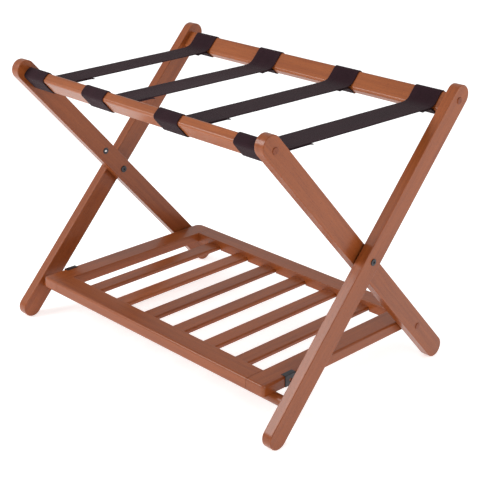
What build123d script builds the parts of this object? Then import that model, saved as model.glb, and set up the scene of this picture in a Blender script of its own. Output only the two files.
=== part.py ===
from build123d import *
import os
from math import cos, radians, sin

# Folding luggage rack: two crossed leg frames, four webbing straps and a hinged slatted shelf.
# X runs along the rails, Y from front to back, Z up. The origin is on the floor, midway.

# ---- driving dimensions (mm) ----
HALF_WIDTH = 340.0          # outer faces of the outer legs
LEG_T = 19.0                # leg thickness, along X
LEG_W = 38.0                # leg width
LEG_SPAN = 638.6            # between the centres of a leg's round ends
LEG_EDGE_R = 1.3
LEAN = 42.08                # each leg from the vertical, open
PIVOT_Z = 256.0             # crossing of the legs
LEG_GAP = 4.0               # spacer washer between inner and outer leg

RAIL_W, RAIL_T, RAIL_R = 37.0, 19.0, 4.5
RAIL_DROP = 20.2            # rail centre below the centre of the leg's round end
SCREW_DROP = 9.0            # rail screw below the same centre

STRETCHER_D = 19.2
STRETCHER_S = -264.5        # along the outer leg from the crossing

SHELF_PIVOT_S = -238.6      # along the inner leg from the crossing
SHELF_HALF = 294.5
SHELF_T = 19.0
SHELF_FRONT, SHELF_BACK = -203.0, 197.0
SIDE_RAIL_W = 40.5
FRONT_RAIL_W, REAR_RAIL_W = 40.0, 38.5
FRONT_CORNER_R, BACK_CORNER_R = 6.0, 14.0
SHELF_TOP_R = 4.0           # rounding of the shelf's outer top edge
SLATS = 6
SLAT_W, SLAT_T, SLAT_PITCH = 32.4, 8.1, 79.0
SLAT_SHIFT = -8.5           # the row of slats sits a little to the left
SLAT_TENON = 8.0
POCKET_W, POCKET_D = 37.0, 8.6

CATCH_S = 63.5              # ball catch, along the inner leg above the crossing
BALL_R = 3.0
BALL_REST = 298.9           # ball centre from the middle of the rack
PLATE_T = 1.2
PLATE_L = 24.0

STRAP_T = 1.7
STRAP_GAP = 0.3             # air between a strap's span and the other frame
FRONT_STRAPS = ((-297.4, -240.5), (-131, -73), (58, 115), (240, 297))
REAR_STRAPS = ((-303.4, -246.5), (-125, -67), (68, 125), (250.5, 307.5))
SPAN_Z = (472.0, 469.5, 473.0, 473.0)
FRONT_TAIL_Y, REAR_TAIL_Y = -105.0, 155.0

PLUG_D = 12.0
SHANK_D = 6.0
SLEEVE_D = 8.0
RUN = 0.05                  # radial running fit

# ---- derived ----
TOP_S = LEG_SPAN / 2
RAIL_S = TOP_S - RAIL_DROP
SCREW_S = TOP_S - SCREW_DROP
DOWEL_S = RAIL_S - 8.0
OUTER_IN = HALF_WIDTH - LEG_T            # inner face of an outer leg
INNER_OUT = OUTER_IN - LEG_GAP           # outer face of an inner leg
INNER_IN = INNER_OUT - LEG_T             # inner face of an inner leg
SHELF_Y = -SHELF_PIVOT_S * sin(radians(LEAN))
SHELF_Z = PIVOT_Z + SHELF_PIVOT_S * cos(radians(LEAN))
SHELF_LO, SHELF_HI = SHELF_Z - SHELF_T / 2, SHELF_Z + SHELF_T / 2
STRIKE_Y = SHELF_Y - (CATCH_S - SHELF_PIVOT_S)
SIDES = {"left": -1, "right": 1}
INNER, OUTER = -1, 1                     # inner legs lean forward, outer legs lean back

os.makedirs("parts", exist_ok=True)


def save(name, *solids):
    shape = solids[0] if len(solids) == 1 else Compound(children=list(solids))
    export_step(shape, f"parts/{name}.step")


def leg_plane(lean, x=0.0):
    """Plane of a leg: local x runs up the leg from the crossing, local z is +X."""
    up = (0, lean * sin(radians(LEAN)), cos(radians(LEAN)))
    return Plane(origin=(x, 0, PIVOT_Z), x_dir=up, z_dir=(1, 0, 0))


def prism(profile, lean, x0, x1, s=0.0, n=0.0):
    """A profile drawn in a leg's plane, run along X from x0 to x1."""
    return extrude(leg_plane(lean, min(x0, x1)) * Pos(s, n) * profile, abs(x1 - x0))


def rod(diameter, lean, x0, x1, s, n=0.0):
    return prism(Circle(diameter / 2), lean, x0, x1, s, n)


def x_rod(diameter, x0, x1, y, z):
    at = Plane(origin=(min(x0, x1), y, z), x_dir=(0, 1, 0), z_dir=(1, 0, 0))
    return extrude(at * Circle(diameter / 2), abs(x1 - x0))


def block(x0, x1, y0, y1, z0, z1):
    lo = [min(a, b) for a, b in ((x0, x1), (y0, y1), (z0, z1))]
    size = (abs(x1 - x0), abs(y1 - y0), abs(z1 - z0))
    return Pos(*lo) * Box(*size, align=(Align.MIN,) * 3)


def round_edges(solid, axis, radius):
    """Round the long edges that run along an axis."""
    return fillet(solid.edges().filter_by(axis), radius)


def pick(solid, y=None, z=None, x=None, tol=0.01):
    """Edges whose middle lies at the given coordinates."""
    def hit(edge):
        c = edge.center()
        return all(want is None or abs(got - want) < tol
                   for got, want in ((c.X, x), (c.Y, y), (c.Z, z)))
    return [edge for edge in solid.edges() if hit(edge)]


def leg_blank(lean, x0, x1):
    bar = prism(SlotCenterToCenter(LEG_SPAN, LEG_W), lean, x0, x1)
    rims = bar.edges().group_by(Axis.X)
    return fillet(rims[0] + rims[-1], LEG_EDGE_R)


def screw(lean, side, face, s, shank, length, head_depth):
    """Flat-headed screw sunk from a leg's outer face towards the middle."""
    top = side * (face - head_depth)
    return (rod(9.0, lean, top, top - side * 3.5, s)
            + rod(shank, lean, top, top - side * length, s))


def plug(lean, side, face, s):
    """Domed wooden button that covers a sunk screw."""
    body = rod(PLUG_D, lean, side * (face - 5.0), side * (face + 1.4), s)
    rim = body.edges().group_by(Axis.X)[-1 if side > 0 else 0]
    return fillet(rim, 1.3)


# ---- legs ----
def inner_leg(side):
    leg = leg_blank(INNER, side * INNER_IN, side * INNER_OUT)
    through = (side * (INNER_IN - 1), side * (INNER_OUT + 1))
    leg -= rod(SLEEVE_D + 0.1, INNER, *through, 0)
    for s, hole in ((SCREW_S, 5.0), (SHELF_PIVOT_S, SHANK_D)):
        leg -= rod(hole, INNER, *through, s)
        leg -= rod(PLUG_D, INNER, side * (INNER_OUT - 9.0), side * (INNER_OUT + 1), s)
    leg -= rod(8.0, INNER, side * (INNER_IN - 1), side * (INNER_IN + 10), DOWEL_S)
    leg -= rod(10.0, INNER, side * (INNER_IN - 1), side * (INNER_IN + 12), CATCH_S)
    return leg


def outer_leg(side):
    leg = leg_blank(OUTER, side * OUTER_IN, side * HALF_WIDTH)
    through = (side * (OUTER_IN - 1), side * (HALF_WIDTH + 1))
    leg -= rod(SLEEVE_D + 2 * RUN, OUTER, *through, 0)
    leg -= rod(5.0, OUTER, *through, SCREW_S)
    leg -= rod(PLUG_D, OUTER, side * (HALF_WIDTH - 9.0), side * (HALF_WIDTH + 1), SCREW_S)
    leg -= rod(8.0, OUTER, side * (OUTER_IN - 1), side * (OUTER_IN + 10), DOWEL_S)
    leg -= rod(14.0, OUTER, side * (OUTER_IN - 1), side * (OUTER_IN + 12), STRETCHER_S)
    return leg


# ---- rails ----
def top_rail(lean, half):
    rail = prism(RectangleRounded(RAIL_W, RAIL_T, RAIL_R), lean, -half, half, RAIL_S)
    for side in SIDES.values():
        rail -= rod(4.0, lean, side * (half + 1), side * (half - 32), SCREW_S)
        rail -= rod(8.0, lean, side * (half + 1), side * (half - 22), DOWEL_S)
    return rail


def rail_screws(lean, half, face):
    return [screw(lean, s, face, SCREW_S, 4.0, face - half + 20, 5.0) for s in SIDES.values()]


def rail_dowels(lean, half):
    return [rod(8.0, lean, s * (half - 22), s * (half + 10), DOWEL_S) for s in SIDES.values()]


def stretcher():
    bar = rod(STRETCHER_D, OUTER, -OUTER_IN, OUTER_IN, STRETCHER_S)
    return bar + rod(14.0, OUTER, -OUTER_IN - 12, OUTER_IN + 12, STRETCHER_S)


# ---- pivots ----
def pivot_bolt(side):
    """Low head on the inner leg's inner face; the thread runs inside the cap nut's sleeve."""
    head = rod(13.0, INNER, side * (INNER_IN - 2.0), side * INNER_IN, 0)
    head = fillet(head.edges().group_by(Axis.X)[0 if side > 0 else -1], 0.8)
    bolt = head + rod(SHANK_D, INNER, side * INNER_IN, side * (HALF_WIDTH - 10), 0)
    return bolt - prism(RegularPolygon(2.0, 6), INNER, side * (INNER_IN - 3), side * (INNER_IN - 0.4))


def cap_nut(side):
    face = HALF_WIDTH + RUN
    head = rod(11.6, INNER, side * face, side * (face + 1.6), 0)
    head = fillet(head.edges().group_by(Axis.X)[-1 if side > 0 else 0], 0.7)
    nut = head + rod(SLEEVE_D, INNER, side * (INNER_IN + 4), side * face, 0)
    nut -= rod(SHANK_D, INNER, side * (INNER_IN - 1), side * (HALF_WIDTH - 9), 0)
    return nut - prism(RegularPolygon(2.2, 6), INNER, side * (face + 0.4), side * (face + 4))


def spacer(side):
    ring = rod(24.0, INNER, side * INNER_OUT, side * (OUTER_IN - RUN), 0)
    return ring - rod(SLEEVE_D, INNER, side * INNER_OUT, side * OUTER_IN, 0)


def shelf_pin(side):
    return screw(INNER, side, INNER_OUT, SHELF_PIVOT_S, SHANK_D, INNER_OUT - SHELF_HALF + 23, 5.0)


def shelf_washer(side):
    ring = rod(15.0, INNER, side * (SHELF_HALF + RUN), side * INNER_IN, SHELF_PIVOT_S)
    return ring - rod(SHANK_D, INNER, side * SHELF_HALF, side * INNER_IN, SHELF_PIVOT_S)


# ---- ball catches ----
def catch_shell(side):
    shell = rod(12.6, INNER, side * (INNER_IN - 0.8), side * INNER_IN, CATCH_S)
    shell = fillet(shell.edges().group_by(Axis.X)[0 if side > 0 else -1], 0.4)
    shell += rod(10.0, INNER, side * INNER_IN, side * (INNER_IN + 12), CATCH_S)
    shell -= rod(2 * BALL_R + 0.1, INNER, side * INNER_IN, side * (INNER_IN + 11), CATCH_S)
    return shell - rod(5.76, INNER, side * (INNER_IN - 1), side * (INNER_IN + 1), CATCH_S)


def catch_ball(side):
    at = leg_plane(INNER, side * BALL_REST) * Pos(CATCH_S, 0, 0)
    return at * Sphere(BALL_R)


def catch_spring(side):
    start, end = BALL_REST + 2.4, INNER_IN + 10.7
    turn = Plane(origin=(leg_plane(INNER, side * start) * Pos(CATCH_S, 0)).position,
                 z_dir=(side, 0, 0), x_dir=(0, 1, 0))
    coil = Helix(pitch=1.5, height=end - start, radius=2.2)
    wire = sweep(Plane(origin=coil @ 0, z_dir=coil % 0) * Circle(0.25), path=coil)
    return turn * wire


# ---- shelf ----
def shelf_side_rail(side):
    inner = SHELF_HALF - SIDE_RAIL_W
    rail = block(side * inner, side * SHELF_HALF, SHELF_FRONT, SHELF_BACK, SHELF_LO, SHELF_HI)
    rail = fillet(pick(rail, x=side * SHELF_HALF, y=SHELF_FRONT), FRONT_CORNER_R)
    rail = fillet(pick(rail, x=side * SHELF_HALF, y=SHELF_BACK), BACK_CORNER_R)
    rail = fillet(pick(rail, x=side * SHELF_HALF, z=SHELF_HI), SHELF_TOP_R)
    rail = fillet(pick(rail, x=side * inner, z=SHELF_HI), 1.2)
    for y in corner_dowel_rows():
        rail -= x_rod(8.0, side * (inner - 1), side * (inner + 18), y, SHELF_Z)
    rail -= x_rod(SHANK_D + 2 * RUN, side * (SHELF_HALF + 1), side * (SHELF_HALF - 30),
                  SHELF_Y, SHELF_Z)
    return rail - strike_screw_set(side)


def corner_dowel_rows():
    front, back = SHELF_FRONT + 20, SHELF_BACK - 17
    return front - 9, front + 9, back - 8, back + 8


def slat_centres():
    return [SLAT_SHIFT + SLAT_PITCH * (i - (SLATS - 1) / 2) for i in range(SLATS)]


def slat_pocket(x, y0, y1):
    """Pocket routed in from below, with round upper corners."""
    cut = block(x - POCKET_W / 2, x + POCKET_W / 2, y0, y1, SHELF_LO - 5, SHELF_LO + SLAT_T + 0.1)
    return fillet(pick(cut, z=SHELF_LO + SLAT_T + 0.1, x=x - POCKET_W / 2)
                  + pick(cut, z=SHELF_LO + SLAT_T + 0.1, x=x + POCKET_W / 2), 4.0)


def cross_rail(y0, y1, inward):
    """Front or rear rail between the side rails; the slats' pockets open on its inner face."""
    half = SHELF_HALF - SIDE_RAIL_W
    outer, inner = (y0, y1) if inward > 0 else (y1, y0)
    rail = block(-half, half, y0, y1, SHELF_LO, SHELF_HI)
    rail = fillet(pick(rail, y=outer, z=SHELF_HI), SHELF_TOP_R)
    rail = fillet(pick(rail, y=inner, z=SHELF_HI), 1.5)
    for x in slat_centres():
        rail -= slat_pocket(x, inner - inward * POCKET_D, inner + inward * 5)
    for y in corner_dowel_rows():
        for side in SIDES.values():
            rail -= x_rod(8.0, side * (half + 1), side * (half - 22), y, SHELF_Z)
    return rail


def slat(x):
    y0, y1 = SHELF_FRONT + FRONT_RAIL_W - SLAT_TENON, SHELF_BACK - REAR_RAIL_W + SLAT_TENON
    bar = block(x - SLAT_W / 2, x + SLAT_W / 2, y0, y1, SHELF_LO, SHELF_LO + SLAT_T)
    bar = fillet(pick(bar, z=SHELF_LO + SLAT_T, x=x - SLAT_W / 2)
                 + pick(bar, z=SHELF_LO + SLAT_T, x=x + SLAT_W / 2), 3.2)
    return fillet(pick(bar, z=SHELF_LO, x=x - SLAT_W / 2) + pick(bar, z=SHELF_LO, x=x + SLAT_W / 2), 1.5)


def corner_dowels():
    half = SHELF_HALF - SIDE_RAIL_W
    return [x_rod(8.0, side * (half - 21), side * (half + 17), y, SHELF_Z)
            for side in SIDES.values() for y in corner_dowel_rows()]


def strike_plate(side):
    """Angle plate over the side rail's edge; the catch ball drops into its hole."""
    y0, y1 = STRIKE_Y - PLATE_L / 2, STRIKE_Y + PLATE_L / 2
    outer = SHELF_HALF + PLATE_T
    plate = block(side * SHELF_HALF, side * outer, y0, y1, SHELF_LO, SHELF_HI + PLATE_T)
    plate += block(side * (SHELF_HALF - 8.5), side * outer, y0, y1, SHELF_HI, SHELF_HI + PLATE_T)
    plate = fillet(pick(plate, x=side * outer, z=SHELF_HI + PLATE_T), 1.0)
    plate -= x_rod(7.0, side * (SHELF_HALF - 1), side * (outer + 1), STRIKE_Y, SHELF_Z)
    return plate - strike_screw_set(side)


def strike_screw_set(side):
    """Two small flat-headed screws beside the hole."""
    tip, face = side * (SHELF_HALF - 9), side * (SHELF_HALF + PLATE_T)
    found = [x_rod(2.4, tip, face, STRIKE_Y + dy, SHELF_Z)
             + x_rod(4.4, face - side * 1.0, face, STRIKE_Y + dy, SHELF_Z) for dy in (-8, 8)]
    return Compound(children=found)


# ---- straps ----
def strap_wrap(lean, x0, x1):
    """Loop of webbing round a top rail."""
    outer = RectangleRounded(RAIL_W + 2 * STRAP_T + 0.1, RAIL_T + 2 * STRAP_T + 0.1, RAIL_R + STRAP_T)
    inner = RectangleRounded(RAIL_W + 0.1, RAIL_T + 0.1, RAIL_R)
    return prism(outer, lean, x0, x1, RAIL_S) - prism(inner, lean, x0, x1, RAIL_S)


def wrap_envelope(lean, grow):
    size = 2 * (STRAP_T + grow) + 0.1
    profile = RectangleRounded(RAIL_W + size, RAIL_T + size, RAIL_R + STRAP_T)
    return prism(profile, lean, -HALF_WIDTH, HALF_WIDTH, RAIL_S)


def strap_span(front, rear, z):
    """Flat run between the two rails, doubled where the sewn tails lie under it."""
    reach = 193.0
    edges = [(front[0], -reach), (front[1], -reach), (rear[1], reach), (rear[0], reach)]
    sheet = Pos(0, 0, z - 1.5 * STRAP_T) * Polygon(*edges, align=None)
    run = extrude(sheet, 2 * STRAP_T)
    single = block(-HALF_WIDTH, HALF_WIDTH, FRONT_TAIL_Y, REAR_TAIL_Y, z - 2 * STRAP_T, z - STRAP_T / 2)
    run = run - single - wrap_envelope(INNER, 0.02) - wrap_envelope(OUTER, STRAP_GAP)
    return max(run.solids(), key=lambda solid: solid.volume)


# ---- write the nodes ----
for name, side in SIDES.items():
    save(f"inner_leg_{name}", inner_leg(side))
    save(f"outer_leg_{name}", outer_leg(side))
    save(f"pivot_bolt_{name}", pivot_bolt(side))
    save(f"pivot_cap_nut_{name}", cap_nut(side))
    save(f"catch_shell_{name}", catch_shell(side))
    save(f"catch_ball_{name}", catch_ball(side))
    save(f"catch_spring_{name}", catch_spring(side))
    save(f"shelf_side_rail_{name}", shelf_side_rail(side))
    save(f"strike_plate_{name}", strike_plate(side))

save("front_top_rail", top_rail(INNER, INNER_IN))
save("rear_top_rail", top_rail(OUTER, OUTER_IN))
save("front_stretcher", stretcher())
save("front_rail_screws", *rail_screws(INNER, INNER_IN, INNER_OUT))
save("rear_rail_screws", *rail_screws(OUTER, OUTER_IN, HALF_WIDTH))
save("front_rail_dowels", *rail_dowels(INNER, INNER_IN))
save("rear_rail_dowels", *rail_dowels(OUTER, OUTER_IN))
save("front_rail_plugs", *[plug(INNER, s, INNER_OUT, SCREW_S) for s in SIDES.values()])
save("rear_rail_plugs", *[plug(OUTER, s, HALF_WIDTH, SCREW_S) for s in SIDES.values()])
save("pivot_spacers", *[spacer(s) for s in SIDES.values()])
save("shelf_pivot_pins", *[shelf_pin(s) for s in SIDES.values()])
save("shelf_pivot_plugs", *[plug(INNER, s, INNER_OUT, SHELF_PIVOT_S) for s in SIDES.values()])
save("shelf_pivot_washers", *[shelf_washer(s) for s in SIDES.values()])

save("shelf_front_rail", cross_rail(SHELF_FRONT, SHELF_FRONT + FRONT_RAIL_W, 1))
save("shelf_rear_rail", cross_rail(SHELF_BACK - REAR_RAIL_W, SHELF_BACK, -1))
for number, x in enumerate(slat_centres(), 1):
    save(f"shelf_slat_{number}", slat(x))
save("shelf_corner_dowels", *corner_dowels())
save("strike_plate_screws", *[s for side in SIDES.values() for s in strike_screw_set(side).solids()])

for number, (front, rear, z) in enumerate(zip(FRONT_STRAPS, REAR_STRAPS, SPAN_Z), 1):
    save(f"strap_{number}_front_loop", strap_wrap(INNER, *front))
    save(f"strap_{number}_rear_loop", strap_wrap(OUTER, *rear))
    save(f"strap_{number}_span", strap_span(front, rear, z))
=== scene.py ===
import math

import bmesh
import bpy
from mathutils import Matrix, Vector


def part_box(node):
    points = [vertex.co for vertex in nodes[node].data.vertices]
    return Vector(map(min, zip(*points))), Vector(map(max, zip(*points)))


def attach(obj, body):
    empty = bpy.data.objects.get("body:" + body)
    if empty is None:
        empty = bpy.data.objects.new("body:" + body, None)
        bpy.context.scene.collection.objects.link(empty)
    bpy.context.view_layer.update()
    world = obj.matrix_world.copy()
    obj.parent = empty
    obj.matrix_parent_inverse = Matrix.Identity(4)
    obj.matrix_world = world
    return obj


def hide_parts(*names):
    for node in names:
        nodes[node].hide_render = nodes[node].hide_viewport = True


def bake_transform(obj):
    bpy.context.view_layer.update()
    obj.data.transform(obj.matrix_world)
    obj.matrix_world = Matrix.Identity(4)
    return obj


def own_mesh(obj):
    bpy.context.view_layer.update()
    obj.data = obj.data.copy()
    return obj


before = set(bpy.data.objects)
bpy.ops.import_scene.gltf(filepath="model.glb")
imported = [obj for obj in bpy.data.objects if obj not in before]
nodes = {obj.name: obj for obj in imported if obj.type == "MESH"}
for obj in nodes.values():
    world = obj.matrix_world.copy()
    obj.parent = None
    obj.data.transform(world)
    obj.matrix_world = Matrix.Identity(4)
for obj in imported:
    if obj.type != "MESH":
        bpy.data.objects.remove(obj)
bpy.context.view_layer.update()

LEAN = math.radians(42.08)      # each leg from the vertical
X_AXIS, Y_AXIS = (1, 0, 0), (0, 1, 0)
OUTER_GRAIN = (0, math.sin(LEAN), math.cos(LEAN))
INNER_GRAIN = (0, -math.sin(LEAN), math.cos(LEAN))

RAIL_HALF_W, RAIL_HALF_T, RAIL_R = 0.0185, 0.0095, 0.0045
STRAP_T = 0.0017
STRAP_EDGE = 0.0009             # rounding at a strap's selvedges
RIB = 0.0019                    # width of one rib of the webbing
PICK = 0.0021                   # length of one pick along the rib
TAIL_GAP = 0.00025              # air between a sewn tail and its span
FRONT_TAIL_Y, REAR_TAIL_Y = -0.105, 0.155
FRONT_SEAM = (-0.144, -0.112)   # the box of stitches on a front tail
CROSS_SEAMS = (-0.147, -0.144, -0.112, 0.1595, 0.1570)
STITCH = (0.00115, 0.0003, 0.00032)
WORLD_LIGHT = 0.62


# ---------------------------------------------------------------- shader helpers
class Shader:
    """A material's node tree, with short names for the nodes used here."""

    def __init__(self, name):
        self.mat = bpy.data.materials.new(name)
        self.mat.use_nodes = True
        self.tree = self.mat.node_tree
        self.bsdf = self.tree.nodes["Principled BSDF"]

    def add(self, kind, **settings):
        node = self.tree.nodes.new(kind)
        for key, value in settings.items():
            setattr(node, key, value)
        return node

    def link(self, source, target):
        self.tree.links.new(source, target)

    def math(self, operation, a, b=None, c=None):
        node = self.add("ShaderNodeMath", operation=operation)
        for i, value in enumerate((a, b, c)):
            if value is None:
                continue
            if isinstance(value, (int, float)):
                node.inputs[i].default_value = value
            else:
                self.link(value, node.inputs[i])
        return node.outputs[0]

    def mapped(self, source, scale, turn=(0, 0, 0), shift=(0, 0, 0)):
        """Coordinates turned into a local frame and divided by a size in metres."""
        node = self.add("ShaderNodeMapping", vector_type="TEXTURE")
        node.inputs["Rotation"].default_value = turn
        node.inputs["Scale"].default_value = scale
        node.inputs["Location"].default_value = shift
        self.link(source, node.inputs["Vector"])
        return node.outputs[0]

    def noise(self, vector, detail=3, rough=0.5, distortion=0.0, scale=1.0):
        node = self.add("ShaderNodeTexNoise")
        node.inputs["Scale"].default_value = scale
        node.inputs["Detail"].default_value = detail
        node.inputs["Roughness"].default_value = rough
        node.inputs["Distortion"].default_value = distortion
        self.link(vector, node.inputs["Vector"])
        return node.outputs["Fac"]

    def ramp(self, factor, stops):
        node = self.add("ShaderNodeValToRGB")
        band = node.color_ramp
        while len(band.elements) < len(stops):
            band.elements.new(0.5)
        for element, (place, colour) in zip(band.elements, stops):
            element.position = place
            element.color = (*colour, 1) if len(colour) == 3 else colour
        self.link(factor, node.inputs["Fac"])
        return node.outputs["Color"]

    def mix(self, factor, a, b, blend="MIX"):
        node = self.add("ShaderNodeMix", data_type="RGBA", blend_type=blend)
        for socket, value in (("Factor", factor), ("A", a), ("B", b)):
            slot = [s for s in node.inputs if s.name == socket and s.enabled][0]
            if isinstance(value, (int, float)):
                slot.default_value = value
            elif isinstance(value, tuple):
                slot.default_value = (*value, 1)
            else:
                self.link(value, slot)
        return [s for s in node.outputs if s.enabled][0]

    def to_range(self, value, low, high):
        node = self.add("ShaderNodeMapRange")
        node.inputs["To Min"].default_value = low
        node.inputs["To Max"].default_value = high
        self.link(value, node.inputs["Value"])
        return node.outputs[0]

    def bump(self, height, distance, strength=1.0):
        node = self.add("ShaderNodeBump")
        node.inputs["Distance"].default_value = distance
        node.inputs["Strength"].default_value = strength
        self.link(height, node.inputs["Height"])
        self.link(node.outputs[0], self.bsdf.inputs["Normal"])

    def set(self, **values):
        for name, value in values.items():
            socket = self.bsdf.inputs[name.replace("_", " ")]
            if hasattr(value, "is_linked"):
                self.link(value, socket)
            else:
                socket.default_value = value


def srgb(r, g, b):
    def one(v):
        v /= 255
        return v / 12.92 if v <= 0.04045 else ((v + 0.055) / 1.055) ** 2.4
    return one(r), one(g), one(b)


# ---------------------------------------------------------------- wood
def wood(name, grain, light=(147, 76, 33), dark=(131, 64, 27), shift=0.0, gain=1.0):
    """Satin-lacquered hardwood with its grain along a direction in the rack's frame."""
    s = Shader(name)
    turn = Vector((1, 0, 0)).rotation_difference(Vector(grain).normalized()).to_euler()
    where = s.add("ShaderNodeTexCoord").outputs["Object"]
    offset = (shift, shift * 0.7, shift * 1.3)
    figure = s.noise(s.mapped(where, (0.22, 0.009, 0.009), turn, offset), 3, 0.55, 0.5)
    streak = s.noise(s.mapped(where, (0.05, 0.0013, 0.0013), turn, offset), 4, 0.6, 0.1)
    pores = s.noise(s.mapped(where, (0.0045, 0.0007, 0.0007), turn, offset), 2, 0.5)
    drift = s.noise(s.mapped(where, (0.5, 0.12, 0.12), turn, offset), 1, 0.5)

    def scaled(rgb, k):
        return tuple(min(1.0, v * k * gain) for v in srgb(*rgb))

    base = s.ramp(figure, [(0.25, scaled(dark, 1.0)), (0.5, scaled(light, 0.94)),
                           (0.75, scaled(light, 1.06))])
    fine = s.ramp(streak, [(0.36, (0.88, 0.85, 0.83)), (0.6, (1.05, 1.04, 1.03))])
    base = s.mix(0.8, base, fine, "MULTIPLY")
    tone = s.ramp(drift, [(0.35, (0.93, 0.91, 0.9)), (0.65, (1.05, 1.04, 1.03))])
    base = s.mix(1.0, base, tone, "MULTIPLY")
    dots = s.ramp(pores, [(0.3, (0.55, 0.5, 0.48)), (0.42, (1, 1, 1))])
    base = s.mix(0.75, base, dots, "MULTIPLY")
    rough = s.to_range(streak, 0.34, 0.46)
    s.set(Base_Color=base, Roughness=rough, Specular_IOR_Level=0.2,
          Coat_Weight=0.4, Coat_Roughness=0.2)
    grit = s.math("ADD", s.math("MULTIPLY", pores, 0.5), s.math("MULTIPLY", streak, 0.6))
    s.bump(grit, 0.00035, 0.35)
    return s.mat


def button_wood():
    """End-grain buttons over the screws: darker, with faint rings."""
    s = Shader("plug_wood")
    where = s.add("ShaderNodeTexCoord").outputs["Object"]
    grain = s.noise(s.mapped(where, (0.002, 0.0009, 0.004)), 4, 0.6, 0.4)
    base = s.ramp(grain, [(0.3, srgb(98, 46, 24)), (0.7, srgb(146, 74, 40))])
    s.set(Base_Color=base, Roughness=0.45, Coat_Weight=0.15, Coat_Roughness=0.25,
          Specular_IOR_Level=0.25)
    s.bump(grain, 0.0003, 0.3)
    return s.mat


# ---------------------------------------------------------------- metals and plastic
def metal(name, colour, rough, metallic, grit=0.001, mark=0.06):
    s = Shader(name)
    where = s.add("ShaderNodeTexCoord").outputs["Object"]
    cloud = s.noise(s.mapped(where, (grit * 6,) * 3), 4, 0.6)
    fine = s.noise(s.mapped(where, (grit,) * 3), 3, 0.6)
    worn = s.ramp(cloud, [(0.35, tuple(0.82 * v for v in colour)),
                          (0.7, tuple(1.2 * v for v in colour))])
    s.set(Base_Color=worn, Roughness=s.to_range(fine, rough - mark, rough + mark),
          Metallic=metallic)
    s.bump(fine, 0.00008, 0.3)
    return s.mat


# ---------------------------------------------------------------- webbing
def webbing():
    """Dark ribbed polypropylene webbing. UV: metres across the strap, metres along it."""
    s = Shader("webbing")
    uv = s.add("ShaderNodeTexCoord").outputs["UV"]
    split = s.add("ShaderNodeSeparateXYZ")
    s.link(uv, split.inputs[0])
    across, along = split.outputs[0], split.outputs[1]
    rib = s.math("ABSOLUTE", s.math("SINE", s.math("MULTIPLY", across, math.pi / RIB)))
    row = s.math("FLOOR", s.math("DIVIDE", across, RIB))
    step = s.math("ADD", s.math("DIVIDE", along, PICK), s.math("MULTIPLY", row, 0.5))
    pick = s.math("ABSOLUTE", s.math("SINE", s.math("MULTIPLY", step, math.pi)))
    weave = s.math("MULTIPLY", rib, s.math("MULTIPLY_ADD", pick, 0.45, 0.55))
    fuzz = s.noise(s.mapped(uv, (0.0006, 0.0025, 1)), 3, 0.6)
    fade = s.noise(s.mapped(uv, (0.02, 0.06, 1)), 2, 0.5)
    # painted shade: the colour follows the weave's height and goes darkest down in the grooves
    # between ribs and picks, on top of the strap's own dark aubergine
    base = s.ramp(weave, [(0.05, srgb(13, 6, 9)), (0.55, srgb(41, 21, 28)),
                          (1.0, srgb(60, 31, 40))])
    faded = s.ramp(fade, [(0.3, (0.86, 0.86, 0.88)), (0.7, (1.1, 1.07, 1.07))])
    base = s.mix(1.0, base, faded, "MULTIPLY")
    fuzzy = s.ramp(fuzz, [(0.3, (0.75, 0.75, 0.75)), (0.7, (1.2, 1.2, 1.2))])
    base = s.mix(0.4, base, fuzzy, "MULTIPLY")
    s.set(Base_Color=base, Roughness=0.8, Sheen_Weight=0.06, Sheen_Roughness=0.5,
          Specular_IOR_Level=0.1)
    s.bump(s.math("ADD", weave, s.math("MULTIPLY", fuzz, 0.3)), 0.0004, 0.6)
    return s.mat


def thread():
    s = Shader("stitch_thread")
    where = s.add("ShaderNodeTexCoord").outputs["Object"]
    ply = s.noise(s.mapped(where, (0.0003, 0.0012, 0.0012)), 2, 0.5)
    base = s.ramp(ply, [(0.3, srgb(20, 13, 16)), (0.7, srgb(58, 43, 49))])
    s.set(Base_Color=base, Roughness=0.65)
    s.bump(ply, 0.0002, 0.5)
    return s.mat


looks = {
    "outer_leg_left": wood("wood_leg_a", OUTER_GRAIN, shift=0.31),
    "outer_leg_right": wood("wood_leg_b", OUTER_GRAIN, shift=1.17),
    "inner_leg_left": wood("wood_leg_c", INNER_GRAIN, shift=2.43),
    "inner_leg_right": wood("wood_leg_d", INNER_GRAIN, shift=3.71),
    "front_top_rail": wood("wood_rail_a", X_AXIS, (156, 84, 38), (140, 71, 31), 0.9),
    "rear_top_rail": wood("wood_rail_b", X_AXIS, (156, 84, 38), (140, 71, 31), 1.9),
    "front_stretcher": wood("wood_rail_c", X_AXIS, shift=2.9),
    "shelf_front_rail": wood("wood_shelf_a", X_AXIS, shift=4.2),
    "shelf_rear_rail": wood("wood_shelf_b", X_AXIS, shift=5.6),
    "shelf_side_rail_left": wood("wood_shelf_c", Y_AXIS, shift=6.1),
    "shelf_side_rail_right": wood("wood_shelf_d", Y_AXIS, shift=7.3),
}
for number, tint in enumerate((0.96, 1.03, 0.92, 1.0, 1.06, 0.95), 1):
    looks[f"shelf_slat_{number}"] = wood(f"wood_slat_{number}", Y_AXIS,
                                         shift=8.0 + number * 1.37, gain=tint)

buttons = button_wood()
dowels = wood("dowel_wood", X_AXIS, (222, 190, 140), (200, 160, 112), 0.5)
black = metal("black_metal", (0.045, 0.045, 0.05), 0.42, 0.55)
steel = metal("ball_steel", (0.82, 0.82, 0.84), 0.12, 1.0, 0.0006, 0.04)
zinc = metal("zinc_steel", (0.55, 0.55, 0.57), 0.35, 1.0)
nylon = metal("nylon", (0.03, 0.03, 0.03), 0.5, 0.0)


def look_of(name):
    if name in looks:
        return looks[name]
    if name.endswith("_plugs"):
        return buttons
    if name.endswith("_dowels"):
        return dowels
    if name.startswith("catch_ball"):
        return steel
    if name in ("pivot_spacers", "shelf_pivot_washers"):
        return nylon
    if name.startswith(("catch_shell", "pivot_")) or name.startswith("strike_plate"):
        return black
    return zinc


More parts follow.
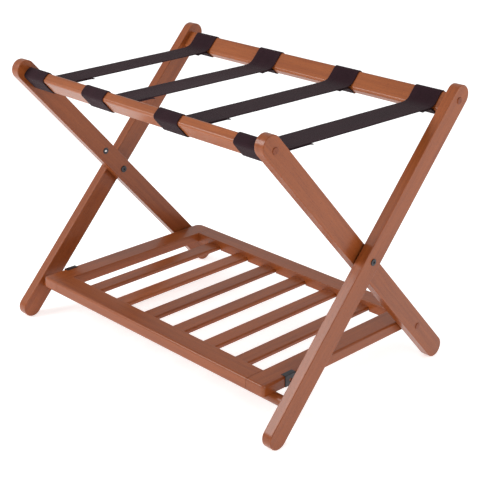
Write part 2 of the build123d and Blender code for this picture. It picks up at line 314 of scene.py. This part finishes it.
for name, node in nodes.items():
    for index in range(len(node.data.materials)):
        node.data.materials[index] = look_of(name)
    if not node.data.materials:
        node.data.materials.append(look_of(name))


# ---------------------------------------------------------------- straps
def rail_frame(sign):
    """Centre of a top rail and its two section axes in the YZ plane; sign -1 is the front one."""
    low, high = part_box("front_top_rail" if sign < 0 else "rear_top_rail")
    centre = ((low.y + high.y) / 2, (low.z + high.z) / 2)
    up = (sign * math.sin(LEAN), math.cos(LEAN))
    inward = (-sign * math.cos(LEAN), math.sin(LEAN))
    return centre, up, inward


def loop_points(sign, gap):
    """Strap centre line round a rail: from the lower edge, up the outer face, over the top
    and down the inner face."""
    centre, up, inward = rail_frame(sign)
    half_w, half_t, radius = RAIL_HALF_W, RAIL_HALF_T, RAIL_R
    grow = STRAP_T / 2 + gap

    def at(a, b):
        return (centre[0] + a * up[0] + b * inward[0], centre[1] + a * up[1] + b * inward[1])

    points = [at(-half_w - grow, b * 0.001) for b in (4, 1.5, -1.5, -4)]
    arcs = [(-1, -1, 180), (1, -1, 270), (1, 1, 0)]
    for a_side, b_side, start in arcs:
        for k in range(9):
            angle = math.radians(start + 90 * k / 8)
            # angles run from the lower face round by the outer face to the top
            a = a_side * (half_w - radius) + (radius + grow) * math.cos(angle)
            b = b_side * (half_t - radius) + (radius + grow) * math.sin(angle)
            points.append(at(a, b))
    points.append(at(0.006, half_t + grow))
    points.append(at(-half_w + radius + 0.006, half_t + grow))
    return points


def resample(points, step):
    out, rest = [points[0]], step
    for p, q in zip(points, points[1:]):
        length = math.dist(p, q)
        while length > rest:
            t = rest / length
            p = (p[0] + (q[0] - p[0]) * t, p[1] + (q[1] - p[1]) * t)
            out.append(p)
            length -= rest
            rest = step
        rest -= length
    out.append(points[-1])
    return out


def soften(points, passes):
    for _ in range(passes):
        points = [points[0]] + [
            tuple((a + 2 * b + c) / 4 for a, b, c in zip(p, q, r))
            for p, q, r in zip(points, points[1:], points[2:])] + [points[-1]]
    return points


def half_path(sign, height, tail_y, gap=0.0004):
    """Tail end to mid-span, for one rail."""
    loop = loop_points(sign, gap)
    under = height - STRAP_T - TAIL_GAP
    start_y, start_z = loop[0]
    lift = max(0.0, under - start_z)
    meet = start_y - sign * (lift * math.tan(LEAN) + 0.004 + max(0.0, start_z - under) * 1.2)
    path = [(tail_y, under - 0.0014), (tail_y + sign * 0.007, under), (meet, under)] + loop
    first, last = Vector(loop[-1]), Vector((sign * (0.150 if sign < 0 else 0.162), height))
    corner = Vector((first.x - sign * (first.y - height) * math.tan(LEAN), height))
    for k in range(1, 13):
        t = k / 12
        path.append(tuple(first * (1 - t) ** 2 + corner * 2 * t * (1 - t) + last * t * t))
    path.append((0.0, height - 0.0012))
    return path


def strap_path(height):
    front = half_path(-1, height, FRONT_TAIL_Y)
    rear = half_path(1, height, REAR_TAIL_Y)
    raw = resample(front[:-1] + list(reversed(rear[:-1])), 0.0012)
    return soften(raw, 4)


def thin_out(path):
    """Fewer points along the straight runs, all of them round the bends."""
    kept, last = [path[0]], 0
    for i in range(1, len(path) - 1):
        a, b, c = path[last], path[i], path[i + 1]
        turn = abs(math.atan2(c[1] - b[1], c[0] - b[0]) - math.atan2(b[1] - a[1], b[0] - a[0]))
        turn = min(turn, 2 * math.pi - turn)
        if turn > 0.05 or math.dist(a, b) > 0.005:
            kept.append(b)
            last = i
    return kept + [path[-1]]


def strap_edges(front_x, rear_x, y):
    t = min(1.0, max(0.0, (y + 0.18) / 0.36))
    return tuple(a + (b - a) * t for a, b in zip(front_x, rear_x))


def running_lengths(path):
    lengths = [0.0]
    for p, q in zip(path, path[1:]):
        lengths.append(lengths[-1] + math.dist(p, q))
    return lengths


def strap_depth(u, width, column):
    """Half the strap's thickness at a share u of its width: thin selvedges, fine ribs."""
    edge = min(u, 1 - u) * width
    body = math.sqrt(max(0.0, 1 - (1 - min(edge, STRAP_EDGE) / STRAP_EDGE) ** 2))
    depth = STRAP_T / 2 * (0.25 + 0.75 * body)
    depth += 0.00008 * (1 if column % 2 else -1) * body
    return depth


def close_end(mesh, ring, flip):
    count = len(ring)
    for j in range(count // 2 - 1):
        quad = (ring[j], ring[j + 1], ring[count - 2 - j], ring[count - 1 - j])
        mesh.faces.new(quad if flip else tuple(reversed(quad)))


def strap_mesh(number, path, lengths, front_x, rear_x):
    """A closed ribbed band along the path, with UVs in metres across and along."""
    columns = 2 * round((front_x[1] - front_x[0]) / RIB)
    mesh = bmesh.new()
    uv = mesh.loops.layers.uv.new("UVMap")
    grid, where = [], {}
    for i, (y, z) in enumerate(path):
        before, after = path[max(0, i - 1)], path[min(len(path) - 1, i + 1)]
        run = math.hypot(after[0] - before[0], after[1] - before[1])
        normal = (-(after[1] - before[1]) / run, (after[0] - before[0]) / run)
        left, right = strap_edges(front_x, rear_x, y)
        wave = 0.00025 * math.sin(lengths[i] * 61 + number) * math.sin(lengths[i] * 17 + 2 * number)
        ring = []
        for side in (1, -1):
            for j in (range(columns + 1) if side > 0 else range(columns, -1, -1)):
                u = j / columns
                depth = strap_depth(u, right - left, j)
                x = left + (right - left) * u + wave
                point = (x, y + normal[0] * side * depth, z + normal[1] * side * depth)
                ring.append(mesh.verts.new(point))
                where[ring[-1]] = (u * (right - left), lengths[i])
        grid.append(ring)
    count = len(grid[0])
    for a, b in zip(grid, grid[1:]):
        for j in range(count):
            k = (j + 1) % count
            mesh.faces.new((a[j], a[k], b[k], b[j]))
    close_end(mesh, grid[0], True)
    close_end(mesh, grid[-1], False)
    for face in mesh.faces:
        face.smooth = True
        for loop in face.loops:
            loop[uv].uv = where[loop.vert]
    bmesh.ops.recalc_face_normals(mesh, faces=mesh.faces)
    return mesh


def make_strap(number):
    """One strap from tail to tail, with its stitching."""
    parts = [f"strap_{number}_{part}" for part in ("front_loop", "span", "rear_loop")]
    front_box, span_box, rear_box = (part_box(part) for part in parts)
    height = span_box[1].z - STRAP_T / 2
    front_x, rear_x = ([box[0].x, box[1].x] for box in (front_box, rear_box))
    path = thin_out(strap_path(height))
    lengths = running_lengths(path)
    strap = place(f"strap_{number}", strap_mesh(number, path, lengths, front_x, rear_x), strap_look)
    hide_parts(*parts)
    bend(strap)
    stitches = make_stitches(number, height, front_x, rear_x)
    bend(stitches)


def place(name, mesh, look):
    data = bpy.data.meshes.new(name)
    mesh.to_mesh(data)
    mesh.free()
    data.materials.append(look)
    piece = bpy.data.objects.new(name, data)
    bpy.context.scene.collection.objects.link(piece)
    return piece


def bend(piece):
    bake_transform(piece)


def make_stitches(number, height, front_x, rear_x):
    """Rows of thread across each strap where its tails are sewn to the span."""
    mesh = bmesh.new()
    top, bottom = height + STRAP_T / 2, height - 1.5 * STRAP_T - TAIL_GAP
    for y in CROSS_SEAMS:
        left, right = strap_edges(front_x, rear_x, y)
        pitch = 0.0031
        amount = int((right - left - 0.006) / pitch)
        start = (left + right) / 2 - amount * pitch / 2
        for k in range(amount + 1):
            for z in (top + 0.00012, bottom - 0.00012):
                add_stitch(mesh, start + k * pitch, y, z)
    y0, y1 = FRONT_SEAM
    steps = int((y1 - y0) / 0.0034)
    for inset in (0.0035, -0.0035):
        for k in range(1, steps):
            y = y0 + (y1 - y0) * k / steps
            left, right = strap_edges(front_x, rear_x, y)
            x = left + inset if inset > 0 else right + inset
            for z in (top + 0.00012, bottom - 0.00012):
                add_stitch(mesh, x, y, z, turned=True)
    return place(f"strap_{number}_stitching", mesh, thread_look)


def add_stitch(mesh, x, y, z, turned=False):
    long, wide, high = STITCH
    size = Matrix.Diagonal((wide, long, high, 1) if turned else (long, wide, high, 1))
    bmesh.ops.create_uvsphere(mesh, u_segments=8, v_segments=5, radius=1.0,
                              matrix=Matrix.Translation((x, y, z)) @ size)


strap_look = webbing()
thread_look = thread()
for number in (1, 2, 3, 4):
    make_strap(number)


# ---------------------------------------------------------------- catch springs
def make_spring(side):
    """A copy of a catch spring, carried by the inner frame."""
    coil = bpy.data.objects.new(f"catch_coil_{side}", nodes[f"catch_spring_{side}"].data.copy())
    bpy.context.scene.collection.objects.link(coil)
    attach(coil, "inner_frame")
    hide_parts(f"catch_spring_{side}")
    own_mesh(coil)


make_spring("left")
make_spring("right")


# ---------------------------------------------------------------- camera, floor and light
def add_camera():
    azimuth, elevation, roll = 0.7975, 0.3407, 0.0048
    back = Vector((math.sin(azimuth) * math.cos(elevation),
                   -math.cos(azimuth) * math.cos(elevation), math.sin(elevation)))
    right = (-back).cross(Vector((0, 0, 1))).normalized()
    up = right.cross(-back)
    tilted = right * math.cos(roll) + up * math.sin(roll)
    up = up * math.cos(roll) - right * math.sin(roll)
    data = bpy.data.cameras.new("camera")
    data.lens, data.sensor_width = 90.042, 36.0
    data.shift_y = -0.125
    camera = bpy.data.objects.new("camera", data)
    axes = Matrix((tilted, up, back)).transposed().to_4x4()
    camera.matrix_world = Matrix.Translation((1.465237, -1.400007, 1.028085)) @ axes
    bpy.context.scene.collection.objects.link(camera)
    bpy.context.scene.camera = camera


def add_floor():
    mesh = bmesh.new()
    bmesh.ops.create_grid(mesh, x_segments=1, y_segments=1, size=30.0)
    s = Shader("floor")
    s.set(Base_Color=(0.93, 0.93, 0.93, 1), Roughness=0.9, Specular_IOR_Level=0.1,
          Emission_Color=(1, 1, 1, 1), Emission_Strength=0.55)
    floor = place("floor", mesh, s.mat)


def add_area(name, place_at, target, size, power, colour=(1, 1, 1)):
    data = bpy.data.lights.new(name, "AREA")
    data.shape, data.size, data.energy, data.color = "DISK", size, power, colour
    lamp = bpy.data.objects.new(name, data)
    lamp.location = place_at
    lamp.rotation_mode = "QUATERNION"
    lamp.rotation_quaternion = (Vector(target) - Vector(place_at)).to_track_quat("-Z", "Y")
    bpy.context.scene.collection.objects.link(lamp)


def add_world():
    world = bpy.data.worlds.new("studio")
    world.use_nodes = True
    back = world.node_tree.nodes["Background"]
    back.inputs["Color"].default_value = (1, 1, 1, 1)
    rays = world.node_tree.nodes.new("ShaderNodeLightPath")
    level = world.node_tree.nodes.new("ShaderNodeMapRange")
    level.inputs["To Min"].default_value = WORLD_LIGHT
    level.inputs["To Max"].default_value = 1.0
    world.node_tree.links.new(rays.outputs["Is Camera Ray"], level.inputs["Value"])
    world.node_tree.links.new(level.outputs[0], back.inputs["Strength"])
    bpy.context.scene.world = world


add_camera()
add_floor()
add_world()
add_area("key", (-1.45, -1.9, 1.75), (0, 0, 0.3), 1.4, 38)
add_area("fill", (2.6, -0.5, 1.7), (0, 0, 0.3), 1.4, 15)
bpy.context.scene.view_settings.view_transform = "Standard"
